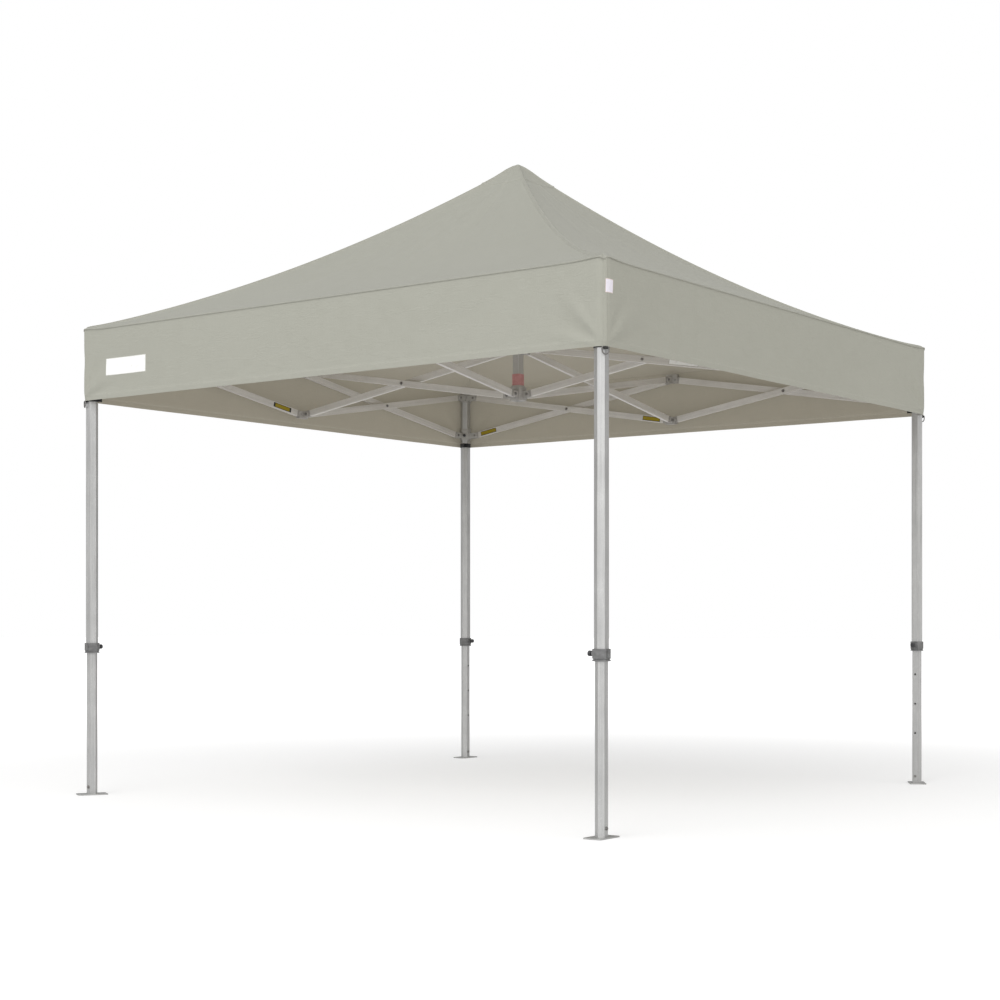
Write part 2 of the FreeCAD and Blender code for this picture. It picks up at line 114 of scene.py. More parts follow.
class Value:
    """A socket in a finish. Sums and products of values add their nodes."""

    def __init__(self, finish, socket):
        self.finish, self.socket = finish, socket

    def maths(self, operation, *terms):
        return self.finish.node("ShaderNodeMath", {"operation": operation}, dict(enumerate(terms)))

    def __add__(self, other):
        return self.maths("ADD", self, other)

    def __sub__(self, other):
        return self.maths("SUBTRACT", self, other)

    def __rsub__(self, other):
        return self.maths("SUBTRACT", other, self)

    def __mul__(self, other):
        return self.maths("MULTIPLY", self, other)

    def __abs__(self):
        return self.maths("ABSOLUTE", self)

    __radd__ = __add__
    __rmul__ = __mul__

    def sine(self):
        return self.maths("SINE", self)

    def greater(self, other):
        return self.maths("MAXIMUM", self, other)

    def lesser(self, other):
        return self.maths("MINIMUM", self, other)

    def step(self, low, high):
        """0 below low, 1 above high and smooth between them; low may be the larger."""
        settings = {"interpolation_type": "SMOOTHSTEP"}
        inputs = {"Value": self, "From Min": low, "From Max": high}
        return self.finish.node("ShaderNodeMapRange", settings, inputs)

    def line(self, middle, width):
        """1 at middle, falling to 0 at half the width to each side."""
        return abs(self - middle).step(width / 2, width / 4)


class Finish:
    """A procedural material with one shader."""

    def __init__(self, name, **constants):
        self.material = bpy.data.materials.new(name)
        self.material.use_nodes = True
        self.tree = self.material.node_tree
        self.shader = self.tree.nodes["Principled BSDF"]
        for socket, value in constants.items():
            self.shader.inputs[socket.replace("_", " ")].default_value = value

    def node(self, kind, settings, inputs, output=0):
        node = self.tree.nodes.new(kind)
        for name, value in settings.items():
            setattr(node, name, value)
        for name, value in inputs.items():
            if isinstance(value, Value):
                self.tree.links.new(value.socket, node.inputs[name])
            else:
                node.inputs[name].default_value = value
        return Value(self, node.outputs[output])

    def place(self):
        return self.node("ShaderNodeTexCoord", {}, {}, "Object")

    def lay(self):
        """The cloth's own flat coordinates, in metres."""
        return self.node("ShaderNodeUVMap", {"uv_map": "cut"}, {})

    def measure(self, name):
        return self.node("ShaderNodeAttribute", {"attribute_name": name}, {}, "Fac")

    def vector(self, operation, first, second, output=0):
        settings = {"operation": operation}
        return self.node("ShaderNodeVectorMath", settings, {0: first, 1: second}, output)

    def split(self, vector):
        node = self.tree.nodes.new("ShaderNodeSeparateXYZ")
        self.tree.links.new(vector.socket, node.inputs[0])
        return [Value(self, node.outputs[axis]) for axis in "XYZ"]

    def noise(self, vector, scale, detail=2.0, roughness=0.5):
        inputs = {"Vector": vector, "Scale": scale, "Detail": detail, "Roughness": roughness}
        return self.node("ShaderNodeTexNoise", {}, inputs, "Fac")

    def stretched(self, vector, factors):
        return self.vector("MULTIPLY", vector, factors)

    def drawn(self, axis, share=0.02):
        """Object coordinates squeezed to a small share along an axis, for grain along it."""
        place = self.place()
        along = self.vector("DOT_PRODUCT", place, axis, "Value")
        inputs = {0: tuple((1 - share) * a for a in axis), "Scale": along}
        part = self.node("ShaderNodeVectorMath", {"operation": "SCALE"}, inputs)
        return self.vector("SUBTRACT", place, part)

    def mix(self, first, second, amount):
        inputs = {0: amount, 6: first, 7: second}
        return self.node("ShaderNodeMix", {"data_type": "RGBA"}, inputs, 2)

    def set(self, socket, value):
        self.tree.links.new(value.socket, self.shader.inputs[socket])

    def relief(self, height):
        """Bumps of a height in metres."""
        normal = self.node("ShaderNodeBump", {}, {"Height": height, "Distance": 1.0}, "Normal")
        self.set("Normal", normal)


def shade(red, green, blue, factor=1.0):
    """A colour from its 0 to 255 display values, made lighter or darker."""
    linear = [((c / 255 + 0.055) / 1.055) ** 2.4 for c in (red, green, blue)]
    return (*[min(1.0, factor * c) for c in linear], 1.0)


def grey(level):
    return (level, level, level, 1.0)


PAINTED_INSIDE_GLOW = 0.37                # strength of a painted glow on the cloth's inside, standing in for light that comes through the cloth, seen from inside
WEAVE_PITCH = 0.0011
STITCH_PITCH = 0.0042
STITCH_WIDTH = 0.0011
TAPE_PITCH = (0.0026, 0.0017)          # of a tape's ribs, along it and across it


def weave(across, along):
    """Height of a plain weave, from 0 to 1."""
    turn = 2 * math.pi / WEAVE_PITCH
    warp, weft = (across * turn).sine(), (along * turn).sine()
    return (warp * weft) * 0.5 + 0.5


def stitches(across, middle, along):
    """Dashes of thread along a line, from 0 to 1."""
    dash = (along * (2 * math.pi / STITCH_PITCH)).sine().step(-0.55, 0.0)
    return across.line(middle, STITCH_WIDTH) * dash


def canopy_cloth(name, light, dark, soil, seams, inside=False):
    """Coated woven polyester. seams are (attribute, distance, flat axis that runs along it)."""
    # an inside finish gets a painted glow, standing in for light that comes through the cloth
    finish = Finish(name, Sheen_Weight=0.12, Sheen_Roughness=0.45, Specular_IOR_Level=0.32,
                    Emission_Strength=PAINTED_INSIDE_GLOW if inside else 0.0)
    lay = finish.lay()
    across, along, _ = finish.split(lay)
    warp_slub = finish.noise(finish.stretched(lay, (900.0, 16.0, 1.0)), 1.0, 1.0)
    weft_slub = finish.noise(finish.stretched(lay, (12.0, 800.0, 1.0)), 1.0, 1.0)
    cloud = finish.noise(lay, 1.7, 3.0, 0.55)
    mottle = finish.noise(lay, 14.0, 3.0, 0.6)
    crease = finish.noise(finish.stretched(lay, (2.4, 9.0, 1.0)), 1.0, 4.0, 0.62)
    crease_line = abs(crease - 0.5).step(0.035, 0.0)
    tone = 0.30 * warp_slub + 0.30 * weft_slub + 0.22 * mottle + 0.18 * cloud
    base = finish.mix(dark, light, tone.step(0.30, 0.70))
    base = finish.mix(base, soil, cloud.step(0.52, 0.78) * mottle.step(0.40, 0.72) * 0.18)
    thread = None
    for attribute, distance, axis in seams:
        run = across if axis == 0 else along
        line = stitches(finish.measure(attribute), distance, run)
        thread = line if thread is None else thread.greater(line)
    if thread is not None:
        base = finish.mix(base, shade(196, 195, 184), thread * 0.55)
    finish.set("Base Color", base)
    # the inside glows in its own colour: painted light, not a lamp
    if inside:
        finish.set("Emission Color", base)
    finish.set("Roughness", (0.60 if not inside else 0.50) + 0.16 * mottle)
    height = weave(across, along) * 0.00009 + (warp_slub + weft_slub) * 0.00012
    height = height + crease_line * (0.00022 if inside else 0.00030) + mottle * 0.0006
    if thread is not None:
        height = height + thread * 0.00035
    finish.relief(height)
    return finish.material


def drawn_metal(name, axis, light, dark, metallic, roughness):
    """Drawn and anodised aluminium with its die lines along an axis."""
    finish = Finish(name, Metallic=metallic, Specular_IOR_Level=0.5)
    place = finish.place()
    die_lines = finish.noise(finish.drawn(axis, 0.004), 620.0, 2.0, 0.6)
    streaks = finish.noise(finish.drawn(axis, 0.03), 95.0, 3.0, 0.6)
    haze = finish.noise(place, 7.0, 3.0, 0.6)
    speckle = finish.noise(place, 210.0, 2.0, 0.7)
    scuffs = abs(finish.noise(finish.drawn(axis, 0.25), 46.0, 4.0, 0.7) - 0.5).step(0.012, 0.0)
    tone = 0.34 * die_lines + 0.28 * streaks + 0.20 * haze + 0.18 * speckle
    base = finish.mix(dark, light, tone.step(0.34, 0.64))
    worn = scuffs * haze.step(0.42, 0.62)
    base = finish.mix(base, shade(232, 232, 230), worn * 0.35)
    finish.set("Base Color", base)
    finish.set("Roughness", roughness - 0.09 + 0.20 * streaks + 0.10 * speckle)
    finish.relief(die_lines * 0.00005 + speckle * 0.00003 - worn * 0.00004)
    return finish.material


def moulded(name, light, dark, roughness):
    """Glass-filled nylon from a spark-textured mould, a little scuffed."""
    finish = Finish(name, Specular_IOR_Level=0.42)
    place = finish.place()
    texture = finish.noise(place, 1300.0, 2.0, 0.6)
    flow = finish.noise(finish.stretched(place, (1.0, 1.0, 2.4)), 26.0, 3.0, 0.6)
    patch = finish.noise(place, 60.0, 3.0, 0.65)
    scuffs = abs(finish.noise(place, 85.0, 5.0, 0.75) - 0.5).step(0.010, 0.0)
    worn = scuffs * patch.step(0.48, 0.66)
    base = finish.mix(dark, light, (0.5 * flow + 0.3 * patch + 0.2 * texture).step(0.34, 0.66))
    base = finish.mix(base, shade(188, 188, 186), worn * 0.30)
    finish.set("Base Color", base)
    finish.set("Roughness", roughness + 0.14 * texture - 0.08 * worn)
    finish.relief(texture * 0.00005 + flow * 0.0002 - worn * 0.00005)
    return finish.material


def zinc_steel(name, light, dark, roughness):
    """Zinc-plated steel with a faint crystal bloom."""
    finish = Finish(name, Metallic=0.9, Specular_IOR_Level=0.5)
    place = finish.place()
    bloom = finish.noise(place, 320.0, 3.0, 0.7)
    cloud = finish.noise(place, 45.0, 3.0, 0.6)
    turning = finish.noise(finish.stretched(place, (1.0, 1.0, 6.0)), 520.0, 1.0)
    spot = finish.noise(place, 130.0, 2.0, 0.6).step(0.64, 0.74)
    base = finish.mix(dark, light, (0.5 * bloom + 0.3 * cloud + 0.2 * turning).step(0.34, 0.66))
    base = finish.mix(base, shade(96, 88, 78), spot * 0.35)
    finish.set("Base Color", base)
    finish.set("Roughness", roughness + 0.16 * cloud + 0.12 * spot)
    finish.relief(bloom * 0.00004 + turning * 0.00003)
    return finish.material


def webbing(name, light, dark, fuzz):
    """Narrow woven tape with rows of loops."""
    finish = Finish(name, Sheen_Weight=0.25, Sheen_Roughness=0.5, Specular_IOR_Level=0.25)
    place = finish.place()
    x, y, z = finish.split(place)
    turns = [2 * math.pi / pitch for pitch in TAPE_PITCH]
    rib = ((x + y) * turns[0]).sine() * (z * turns[1]).sine()
    loops = finish.noise(place, 900.0, 2.0, 0.7)
    wear = finish.noise(place, 60.0, 3.0, 0.6)
    base = finish.mix(dark, light, (0.45 * loops + 0.35 * wear + 0.10 * rib).step(0.25, 0.6))
    finish.set("Base Color", base)
    finish.set("Roughness", 0.78 + 0.16 * loops)
    finish.relief(rib * 0.00012 + loops * fuzz)
    return finish.material


def plain_print(name, ground, edge, half_width, half_height):
    """A blank label or patch with a border, laid out from its middle."""
    finish = Finish(name, Specular_IOR_Level=0.4)
    lay = finish.lay()
    across, along, _ = finish.split(lay)
    inset = (half_width - abs(across)).lesser(half_height - abs(along))
    border = inset.step(0.0030, 0.0022)
    grime = finish.noise(lay, 40.0, 3.0, 0.6)
    fibre = finish.noise(finish.stretched(lay, (700.0, 900.0, 1.0)), 1.0, 1.0)
    base = finish.mix(ground, edge, border)
    base = finish.mix(base, shade(150, 146, 136), grime.step(0.52, 0.80) * 0.18)
    finish.set("Base Color", base)
    finish.set("Roughness", 0.42 + 0.2 * fibre)
    finish.relief(fibre * 0.00006 + border * 0.00008)
    return finish.material


ROOF_SEAMS = [("hip", 0.0030, 1), ("hip", 0.0105, 1), ("eave", 0.0085, 0), ("patch", 0.0045, 0)]
VALANCE_SEAMS = [("hem", 0.0225, 0), ("hem", 0.0265, 0), ("strip", 0.0035, 1),
                 ("strip", 0.0190, 1)]
OUTSIDE_SOIL = shade(150, 148, 134)
COATING = (shade(174, 168, 153, 0.74), shade(165, 159, 144, 0.74), shade(140, 133, 118))
roof_outside = canopy_cloth("roof cloth, outside", shade(179, 179, 168, 0.725),
                            shade(171, 171, 159, 0.725), OUTSIDE_SOIL, ROOF_SEAMS)
roof_inside = canopy_cloth("roof cloth, coated inside", *COATING, ROOF_SEAMS, inside=True)
valance_outside = canopy_cloth("valance cloth, outside", shade(181, 181, 170, 0.79),
                               shade(174, 174, 162, 0.79), OUTSIDE_SOIL, VALANCE_SEAMS)
valance_inside = canopy_cloth("valance cloth, coated inside", *COATING, VALANCE_SEAMS, inside=True)
leg_metal = drawn_metal("leg aluminium, anodised", (0.0, 0.0, 1.0), shade(201, 201, 200),
                        shade(176, 176, 175), 0.74, 0.38)
mast_metal = drawn_metal("mast aluminium, anodised", (0.0, 0.0, 1.0), shade(205, 204, 202),
                         shade(176, 175, 172), 0.70, 0.42)
corner_moulding = moulded("corner moulding, grey nylon", shade(190, 188, 184),
                          shade(170, 168, 164), 0.46)
hub_moulding = moulded("hub moulding, grey nylon", shade(190, 187, 183),
                       shade(168, 165, 161), 0.45)
bar_end_moulding = moulded("bar end, grey nylon", shade(182, 178, 174),
                           shade(160, 157, 153), 0.44)
lock_moulding = moulded("leg lock, dark grey nylon", shade(122, 122, 122),
                        shade(100, 100, 100), 0.40)
glide_moulding = moulded("glide, black nylon", shade(58, 58, 58), shade(42, 42, 42), 0.40)
sleeve_moulding = moulded("mast sleeve, faded red", shade(202, 146, 145),
                          shade(184, 128, 127), 0.44)
bolt_steel = zinc_steel("bolts, zinc-plated steel", shade(168, 166, 163),
                        shade(128, 126, 124), 0.34)
plate_steel = zinc_steel("foot plate, galvanised steel", shade(206, 206, 204),
                         shade(176, 176, 174), 0.42)
knob_nylon = moulded("pull knob, black nylon", shade(70, 70, 72), shade(48, 48, 50), 0.38)
ring_steel = zinc_steel("ring, nickel-plated steel", shade(150, 148, 145),
                        shade(104, 102, 100), 0.30)
strap_tape = webbing("hook-and-loop tape, black", shade(52, 52, 54), shade(28, 28, 30), 0.00035)
tab_tape = webbing("ring tab, black webbing", shade(58, 57, 56), shade(36, 36, 36), 0.00010)
bar_finishes = {}


def bar_metal(axis):
    """The finish of a truss bar that runs along an axis; bars of one direction share it."""
    if axis not in bar_finishes:
        bar_finishes[axis] = drawn_metal(f"bar aluminium, drawn {len(bar_finishes) + 1}", axis,
                                         shade(232, 229, 225), shade(206, 203, 199), 0.45, 0.46)
    return bar_finishes[axis]


# ---- finishes of the frame's own parts ----

def islands(mesh):
    """For each face the number of its loose part, 0 for the largest, and every face's centre."""
    count = len(mesh.polygons)
    corners = np.empty(len(mesh.vertices) * 3)
    mesh.vertices.foreach_get("co", corners)
    corners = corners.reshape(-1, 3)
    _, merged = np.unique(np.round(corners * 1e5).astype(np.int64), axis=0, return_inverse=True)
    merged = merged.ravel()
    faces = np.empty(count * 3, np.int32)
    mesh.polygons.foreach_get("vertices", faces)
    faces = faces.reshape(-1, 3)
    centres = corners[faces].mean(axis=1)
    faces = merged[faces]
    label = np.arange(merged.max() + 1)
    while True:
        lowest = label.copy()
        np.minimum.at(lowest, faces.ravel(), np.repeat(label[faces].min(axis=1), 3))
        lowest = lowest[lowest]
        if (lowest == label).all():
            break
        label = lowest
    parts, part = np.unique(label[faces[:, 0]], return_inverse=True)
    spans = [np.ptp(centres[part == k], axis=0).max() for k in range(len(parts))]
    order = np.argsort(-np.array(spans), kind="stable")
    rank = np.empty(len(order), int)
    rank[order] = np.arange(len(order))
    return rank[part], centres


def paint(node, finishes, choose):
    """Gives a node its finishes; choose picks one for every face, from the number of its loose
    part and its centre."""
    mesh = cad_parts[node].data
    part, centres = islands(mesh)
    mesh.materials.clear()
    for finish in finishes:
        mesh.materials.append(finish)
    mesh.polygons.foreach_set("material_index", choose(part, centres).astype(np.int32))


def loose_bolts(part, centres):
    return (part > 0).astype(int)


def whole(part, centres):
    return np.zeros(len(part), int)


BAR_END = 0.041                        # from a bar's rounded end to the start of its tube


def bar_frame(node):
    """The centres of a bar's faces without its bolts, its middle and its long axis."""
    part, centres = islands(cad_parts[node].data)
    body = centres[part == 0]
    axis = np.linalg.svd(body - body.mean(axis=0), full_matrices=False)[2][0]
    return body, (body.min(axis=0) + body.max(axis=0)) / 2, axis


def paint_bar(node):
    body, middle, axis = bar_frame(node)
    axis = axis * np.sign(axis[np.argmax(abs(axis))])
    half = ((body - middle) @ axis).max() - BAR_END

    def choose(part, centres):
        beyond = abs((centres - middle) @ axis) > half
        return np.where(part > 0, 2, np.where(beyond, 1, 0))

    rounded = tuple(round(float(a), 3) for a in axis)
    paint(node, [bar_metal(rounded), bar_end_moulding, bolt_steel], choose)


def leg_axis(corner):
    """Where a leg stands, seen from above."""
    signs = (1 if "east" in corner else -1, 1 if "north" in corner else -1)
    return np.array([signs[0] * LEG_LINE, signs[1] * LEG_LINE])


def paint_outer_leg(corner):
    axis = leg_axis(corner)

    def choose(part, centres):
        outside = np.hypot(*(centres[:, :2] - axis).T) > LEG_FLATS / 2 + PROUD
        z = centres[:, 2]
        head = (part == 0) & ((z > LEG_HEAD_Z) & outside | (z > LEG_TOP_Z))
        lock = (part == 0) & (z < LOCK_TOP_Z) & (outside | (z < OUTER_END_Z))
        return np.where(part > 0, 3, np.where(head, 1, np.where(lock, 2, 0)))

    finishes = [leg_metal, corner_moulding, lock_moulding, bolt_steel]
    paint("outer_leg_" + corner, finishes, choose)


def paint_inner_leg(corner):
    def choose(part, centres):
        z = centres[:, 2]
        foot = (part == 0) & (z < PLATE_TOP_Z)
        glide = (part == 0) & (z > GLIDE_Z)
        return np.where(part > 0, 3, np.where(foot, 1, np.where(glide, 2, 0)))

    paint("inner_leg_" + corner, [leg_metal, plate_steel, glide_moulding, bolt_steel], choose)


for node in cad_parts:
    if "_bar_" in node:
        paint_bar(node)
    elif "hub" in node or "bracket" in node:
        paint(node, [hub_moulding, bolt_steel], loose_bolts)
for corner in CORNERS:
    paint_outer_leg(corner)
    paint_inner_leg(corner)
    paint("slider_" + corner, [corner_moulding, bolt_steel], loose_bolts)
    paint("slider_latch_" + corner, [knob_nylon], whole)
    paint("lock_pin_" + corner, [knob_nylon], whole)
paint("mast", [mast_metal, corner_moulding],
      lambda part, centres: (centres[:, 2] > MAST_CAP_Z).astype(int))
paint("mast_sleeve", [sleeve_moulding], whole)


# ---- the canopy ----

def turned(turn, radial, tangential, z):
    """Points given outwards and along the east side, a number of quarter turns on from it."""
    x, y = [(radial, tangential), (-tangential, radial),
            (-radial, -tangential), (tangential, -radial)][turn]
    return np.stack(np.broadcast_arrays(x, y, z), axis=-1)


def roof_height(reach):
    """Height of the roof along a side's middle line before it sags, by the distance outwards."""
    rounded = np.sqrt(reach ** 2 + PEAK_ROUND ** 2)
    rise = 1 - rounded / EAVE
    return EAVE_Z + ROOF_RISE * ((1 - ROOF_BEND) * rise + ROOF_BEND * rise ** 2)


def smooth(value, low, high):
    share = np.clip((value - low) / (high - low), 0, 1)
    return share * share * (3 - 2 * share)


def bell(distance, width):
    """1 at no distance, falling off smoothly to both sides."""
    return np.exp(-(distance / width) ** 2)


def corner_lift(from_corner):
    """The cloth rides up over a leg's head and drops again at the very corner."""
    return LEG_LIFT * bell(from_corner, LEG_LIFT_REACH) - TIP_DROP * bell(from_corner, TIP_DROP_REACH)


def round_corner(reach, tangential, radius, outward=0.0):
    """Bends the ends of a row round the corner and shifts it outwards along its own normal."""
    from_corner = reach - abs(tangential)
    turning = np.clip(1 - from_corner / np.maximum(radius, 1e-9), 0, 1) * math.pi / 4
    bent = np.where(turning > 0, reach - radius + radius * np.sin(turning), abs(tangential))
    radial = reach - radius * (1 - np.cos(turning)) + outward * np.cos(turning)
    return radial, np.sign(tangential) * (bent + outward * np.sin(turning))


def grid_mesh(name, points, cut, measures, finishes):
    """A sheet from a grid of points with its flat coordinates."""
    rows, columns = points.shape[:2]
    index = np.arange(rows * columns).reshape(rows, columns)
    faces = np.stack([index[:-1, :-1], index[:-1, 1:], index[1:, 1:], index[1:, :-1]], axis=-1)
    faces = faces.reshape(-1, 4)
    mesh = bpy.data.meshes.new(name)
    mesh.from_pydata(points.reshape(-1, 3).tolist(), [], faces.tolist())
    layer = mesh.uv_layers.new(name="cut")
    layer.data.foreach_set("uv", cut.reshape(-1, 2)[faces.ravel()].astype(np.float32).ravel())
    for measure, values in measures.items():
        attribute = mesh.attributes.new(measure, "FLOAT", "POINT")
        attribute.data.foreach_set("value", values.astype(np.float32).ravel())
    for finish in finishes:
        mesh.materials.append(finish)
    piece = bpy.data.objects.new(name, mesh)
    bpy.context.scene.collection.objects.link(piece)
    return piece


def only(piece):
    bpy.ops.object.select_all(action="DESELECT")
    piece.select_set(True)
    bpy.context.view_layer.objects.active = piece


def thicken(piece, thickness, outwards):
    """Merges doubled points, turns the sheet's front outwards and gives it its thickness behind."""
    work = bmesh.new()
    work.from_mesh(piece.data)
    bmesh.ops.remove_doubles(work, verts=work.verts, dist=2e-6)
    total = sum((f.normal * f.calc_area() for f in work.faces), Vector())
    if total.dot(Vector(outwards)) < 0:
        bmesh.ops.reverse_faces(work, faces=work.faces)
    work.to_mesh(piece.data)
    work.free()
    only(piece)
    shell = piece.modifiers.new("thickness", "SOLIDIFY")
    shell.thickness = thickness
    shell.offset = -1.0
    shell.material_offset = len(piece.data.materials) - 1
    bpy.ops.object.modifier_apply(modifier="thickness")
    bpy.ops.object.shade_smooth_by_angle(angle=math.radians(50))
    return piece


def spread(reach, count):
    """Columns across a row from hip to hip, close together at the seams by both ends."""
    seam = np.array([0.0, 0.0015, 0.0035, 0.0080, HIP_BAND, HIP_BAND + 0.0012, 0.0180,
                     0.0250, 0.0320, 0.0390, 0.0460, 0.0540])
    seam = seam[None, :] * np.minimum(1, reach / 0.15)[:, None]
    inner = reach - seam[:, -1] * 1.4
    middle = np.linspace(-1, 1, count)[None, :] * inner[:, None]
    return np.concatenate([seam - reach[:, None], middle, (reach[:, None] - seam)[:, ::-1]], axis=1)


HIP_RIDGE, HIP_RIDGE_REACH = 0.0065, 0.0075        # how the seam stands up along a hip
DOUBLED_CLOTH = 0.0018                 # step where cloth lies double
PATCH_EDGE, PATCH_EDGE_REACH = 0.0020, 0.0035      # the peak patch's stitched edge
PIPING, PIPING_REACH = 0.0022, 0.005
TIP_RISE, TIP_REACH = 0.013, 0.055     # what the mast's cap adds to the peak
TENSION, TENSION_PITCH, TENSION_REACH = 0.0016, 0.085, 0.26    # pulls that run to a leg's head
roof_waves = [(pleats, rng.uniform(0, 2 * math.pi), size)
              for pleats, size in ((3.0, 0.0022), (5.0, 0.0016), (8.0, 0.0011), (13.0, 0.0006))]


def roof_piece(turn, side):
    """A roof panel, from the peak down to the lip that laps the valance, with the length of its
    cloth down the slope and its flat area."""
    reach_low = EAVE - EAVE_TANGENT
    upper = np.array([0.0, 0.003, 0.007, 0.012, 0.018, 0.026, 0.036, 0.050, 0.068, 0.088, 0.108])
    patch_edge = PEAK_PATCH + np.array([-0.013, -0.009, -0.0065, -0.004, -0.0020, -0.0008,
                                        0.0004, 0.003])
    lower = np.concatenate([np.linspace(0.142, 1.40, 66), np.linspace(1.412, reach_low, 12)])
    reach = np.concatenate([upper, patch_edge, lower])
    z = roof_height(reach)
    arc = np.linspace(EAVE_SLOPE, math.pi / 2, 6)[1:]
    centre = (reach_low - EAVE_ROUND * math.sin(EAVE_SLOPE), z[-1] - EAVE_ROUND * math.cos(EAVE_SLOPE))
    lip_z = centre[1] - np.array([0.0022, 0.0055, 0.0095]) * LIP_DEPTH / 0.012
    reach = np.concatenate([reach, centre[0] + EAVE_ROUND * np.sin(arc), np.full(3, EAVE)])
    z = np.concatenate([z, centre[1] + EAVE_ROUND * np.cos(arc), lip_z])
    length = np.concatenate([[0], np.cumsum(np.hypot(np.diff(reach), np.diff(z)))])
    tangential = spread(reach, ROOF_COLUMNS)
    share = tangential / np.maximum(reach, 1e-6)[:, None]
    from_peak = reach[:, None]
    from_hip = np.maximum(from_peak - abs(tangential), 0)
    rise = np.clip(1 - reach / reach_low, 0, 1)[:, None]
    hollow = PANEL_SAG * (1 - share ** 2) * 4 * rise * (1 - rise)
    calm = (1 - share ** 2) ** 0.7 * np.sqrt(np.clip(4 * rise * (1 - rise), 0, 1))
    ripple = sum(size * np.sin(math.pi * pleats * share + phase + 2.2 * rise * (pleats % 3 - 1))
                 for pleats, phase, size in roof_waves)
    from_leg = np.hypot(from_peak - LEG_LINE, abs(tangential) - LEG_LINE)
    from_corner = EAVE - np.minimum(from_peak, abs(tangential))
    lift = corner_lift(from_corner) * bell(EAVE - from_peak, LEG_LIFT_REACH)
    near_leg = bell(from_leg, TENSION_REACH) * smooth(from_hip, 0, 0.05) * (rise > 0)
    pull = np.sin(2 * math.pi * (from_peak - abs(tangential)) / TENSION_PITCH)
    tension = TENSION * pull * near_leg
    band = DOUBLED_CLOTH * (from_hip <= HIP_BAND + 1e-6) * (share > 0) * (from_peak > 0.012)
    ridge = HIP_RIDGE * bell(from_hip, HIP_RIDGE_REACH) * smooth(from_peak, 0.01, 0.05)
    doubled = DOUBLED_CLOTH * (from_peak < PEAK_PATCH)
    doubled = doubled + PATCH_EDGE * bell(from_peak - PEAK_PATCH + 0.004, PATCH_EDGE_REACH)
    piping = PIPING * bell(reach_low - 0.004 - from_peak, PIPING_REACH) * (rise > 0)
    bend = (HIP_BEND[CORNERS[turn]] * (1 + share) + HIP_BEND[CORNERS[turn - 1]] * (1 - share)) / 2
    slack = ROOF_RISE * (bend - ROOF_BEND) * rise * (1 - rise)
    tip = TIP_RISE * bell(from_peak, TIP_REACH)
    height = tip - slack - hollow + calm * ripple + lift + tension
    height = height + (band + ridge) * (rise > 0) + doubled + piping
    outward = np.zeros_like(height)
    outward[-8:] = LIP_STAND
    radius = CORNER_ROUND * smooth(reach, 1.36, reach_low)[:, None]
    radial, sideways = round_corner(from_peak, tangential, radius, outward)
    points = turned(turn, radial, sideways, z[:, None] + height)
    cut = np.stack(np.broadcast_arrays(tangential, length[-1] - length[:, None]), axis=-1)
    eave_length = length[np.searchsorted(reach, reach_low)]
    measures = {
        "hip": np.where(share > 0, from_hip, 1.0),
        "eave": np.broadcast_to(abs(eave_length - length)[:, None], from_hip.shape),
        "patch": np.broadcast_to(PEAK_PATCH - from_peak, from_hip.shape),
    }
    piece = grid_mesh("roof_panel_" + side, points, cut, measures, [roof_outside, roof_inside])
    thicken(piece, CLOTH, turned(turn, 0.4, 0.0, 1.0).tolist())
    area = np.sum((reach[1:] + reach[:-1]) * np.diff(length))
    return piece, float(length[-1]), float(area)


valance_waves = [(turns, rng.uniform(0, 2 * math.pi), size)
                 for turns, size in ((1.5, 0.0020), (3.3, 0.0015), (6.1, 0.0009), (11.0, 0.0004))]
corner_folds = [(folds, rng.uniform(0, 2 * math.pi), size)
                for folds, size in ((7.5, 0.0042), (12.0, 0.0026), (19.0, 0.0012))]


def valance_shape(tangential, z):
    """How far the valance's cloth stands in or out: waves, folds from the hem's corners, and the
    corners drawn in between the leg's bracket and slider and again at the hem."""
    from_corner = EAVE - abs(tangential)
    drop = (EAVE_Z - z) / (EAVE_Z - HEM_Z)
    waves = sum(size * np.sin(2 * math.pi * turns * tangential / EAVE / 2 + phase + 1.3 * drop)
                for turns, phase, size in valance_waves)
    waves = waves * smooth(EAVE_Z - z, 0.018, 0.20) * smooth(from_corner, 0.0, 0.25)
    away = np.hypot(from_corner, z - HEM_Z)
    angle = np.arctan2(z - HEM_Z, from_corner)
    folds = sum(size * np.sin(count * angle + phase + 1.8 * np.sign(tangential))
                for count, phase, size in corner_folds)
    folds = folds * bell(away - 0.12, 0.14) * np.sin(2 * angle)
    folds = folds * smooth(from_corner, 0.03, 0.08) * smooth(away, 0.02, 0.07)
    drawn_in = 0.001 + 0.0025 * bell(z - DRAWN_IN_Z, 0.045)
    drawn_in = drawn_in + 0.0045 * smooth(HEM_DRAWN_Z - z, 0.0, 0.04)
    return waves + folds - drawn_in * bell(from_corner, 0.10)


def valance_surface(turn, tangential, z, stand=0.0):
    """The outside of the valance, with the steps of its hem and corner binding."""
    hem = 0.0004 * (z < HEM_Z + HEM_BAND + 1e-6)
    strip = CLOTH * (EAVE + tangential <= CORNER_STRIP + 1e-6)
    outward = valance_shape(tangential, z) + hem + strip + stand - VALANCE_INSET
    radial, sideways = round_corner(EAVE, tangential, CORNER_ROUND, outward)
    z = z + corner_lift(EAVE - abs(tangential)) * smooth(z, 2.05, EAVE_Z)
    return turned(turn, radial, sideways, z)


